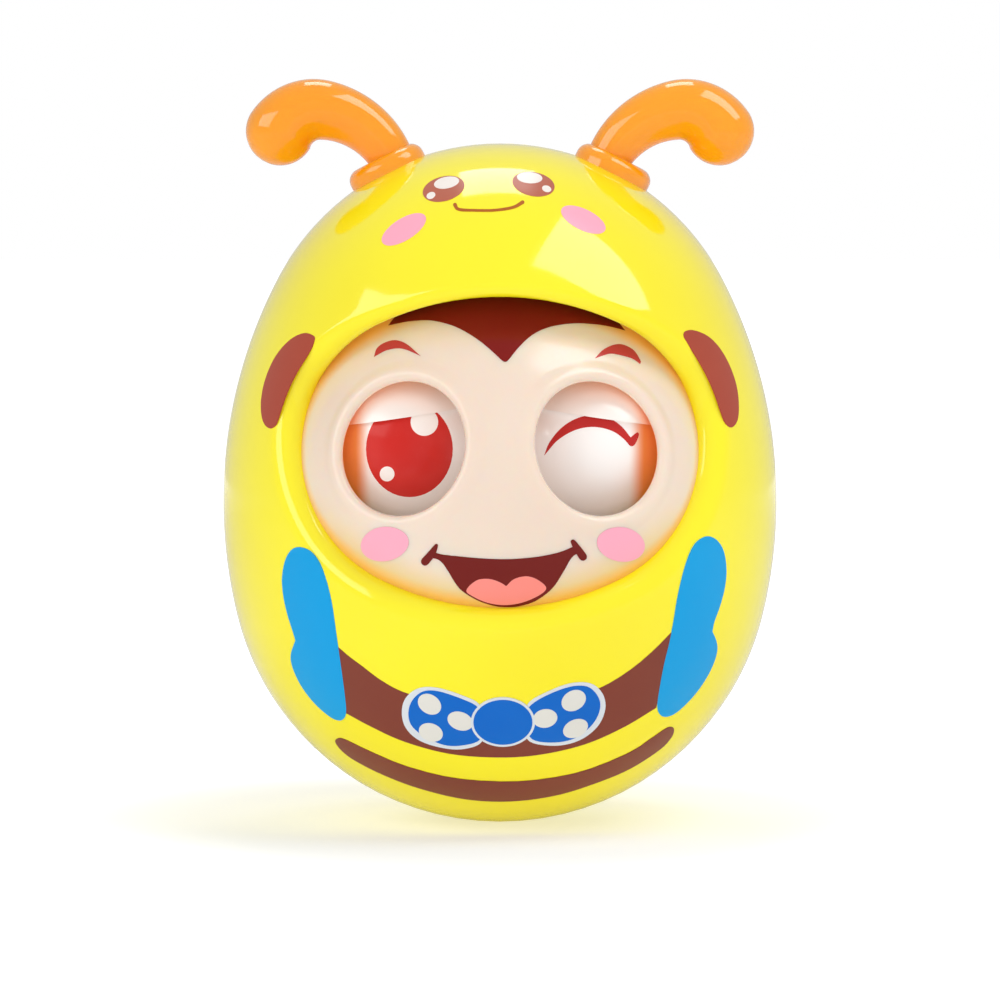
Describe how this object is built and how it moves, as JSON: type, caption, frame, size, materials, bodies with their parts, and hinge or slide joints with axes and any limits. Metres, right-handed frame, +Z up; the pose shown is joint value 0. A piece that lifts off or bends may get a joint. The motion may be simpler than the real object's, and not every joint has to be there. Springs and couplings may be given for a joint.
{
  "type": "roly-poly toy",
  "caption": "Egg-shaped wobbling toy with a bee hood, hooked antennae and a recessed doll face whose weighted eyes tilt; a cast weight and a chime sit in its base.",
  "frame": {"origin": "centre of the small flat that the toy rests on", "axes": "+Z up through the crown, face towards -Y, the toy's own left on +X"},
  "size_m": [0.09, 0.0894, 0.1205],
  "materials": {
    "shell_yellow": "high gloss",
    "antenna_orange": "high gloss, a little see-through at its edges",
    "face_skin": "satin",
    "lid_skin": "satin",
    "eye_ivory": "gloss",
    "inner_plastic": "moulded",
    "steel": "plain",
    "weight_iron": "as cast",
    "hammer_brass": "turned"
  },
  "bodies": {
    "casing": {"front_shell": "shell_yellow", "back_shell": "shell_yellow", "shell_screws": "steel", "left_antenna": "antenna_orange", "right_antenna": "antenna_orange", "face_mask": "face_skin", "face_screws": "steel", "eye_bracket": "inner_plastic", "bracket_screws": "steel", "eye_axle": "steel", "counterweight": "weight_iron", "chime_rods": "steel", "chime_bridge": "inner_plastic", "bridge_screws": "steel", "hammer_pin": "steel"},
    "left_eye": {"left_eyeball": "eye_ivory", "left_eye_back": "eye_ivory", "left_eyelid": "lid_skin", "left_eye_weight": "steel"},
    "right_eye": {"right_eyeball": "eye_ivory", "right_eye_back": "eye_ivory", "right_eyelid": "lid_skin", "right_eye_weight": "steel"},
    "hammer": {"hammer_arm": "inner_plastic", "hammer_bead": "hammer_brass"}
  },
  "joints": [
    {"name": "left_eye_tilt", "type": "hinge", "parent": "casing", "child": "left_eye", "pos_m": [0.0142, -0.0224, 0.062], "axis": [1, 0, 0], "range_deg": [-20, 65]},
    {"name": "right_eye_tilt", "type": "hinge", "parent": "casing", "child": "right_eye", "pos_m": [-0.0142, -0.0224, 0.062], "axis": [1, 0, 0], "range_deg": [-20, 65]},
    {"name": "hammer_swing", "type": "hinge", "parent": "casing", "child": "hammer", "pos_m": [0, 0.01, 0.0595], "axis": [1, 0, 0], "range_deg": [-11, 11]}
  ]
}
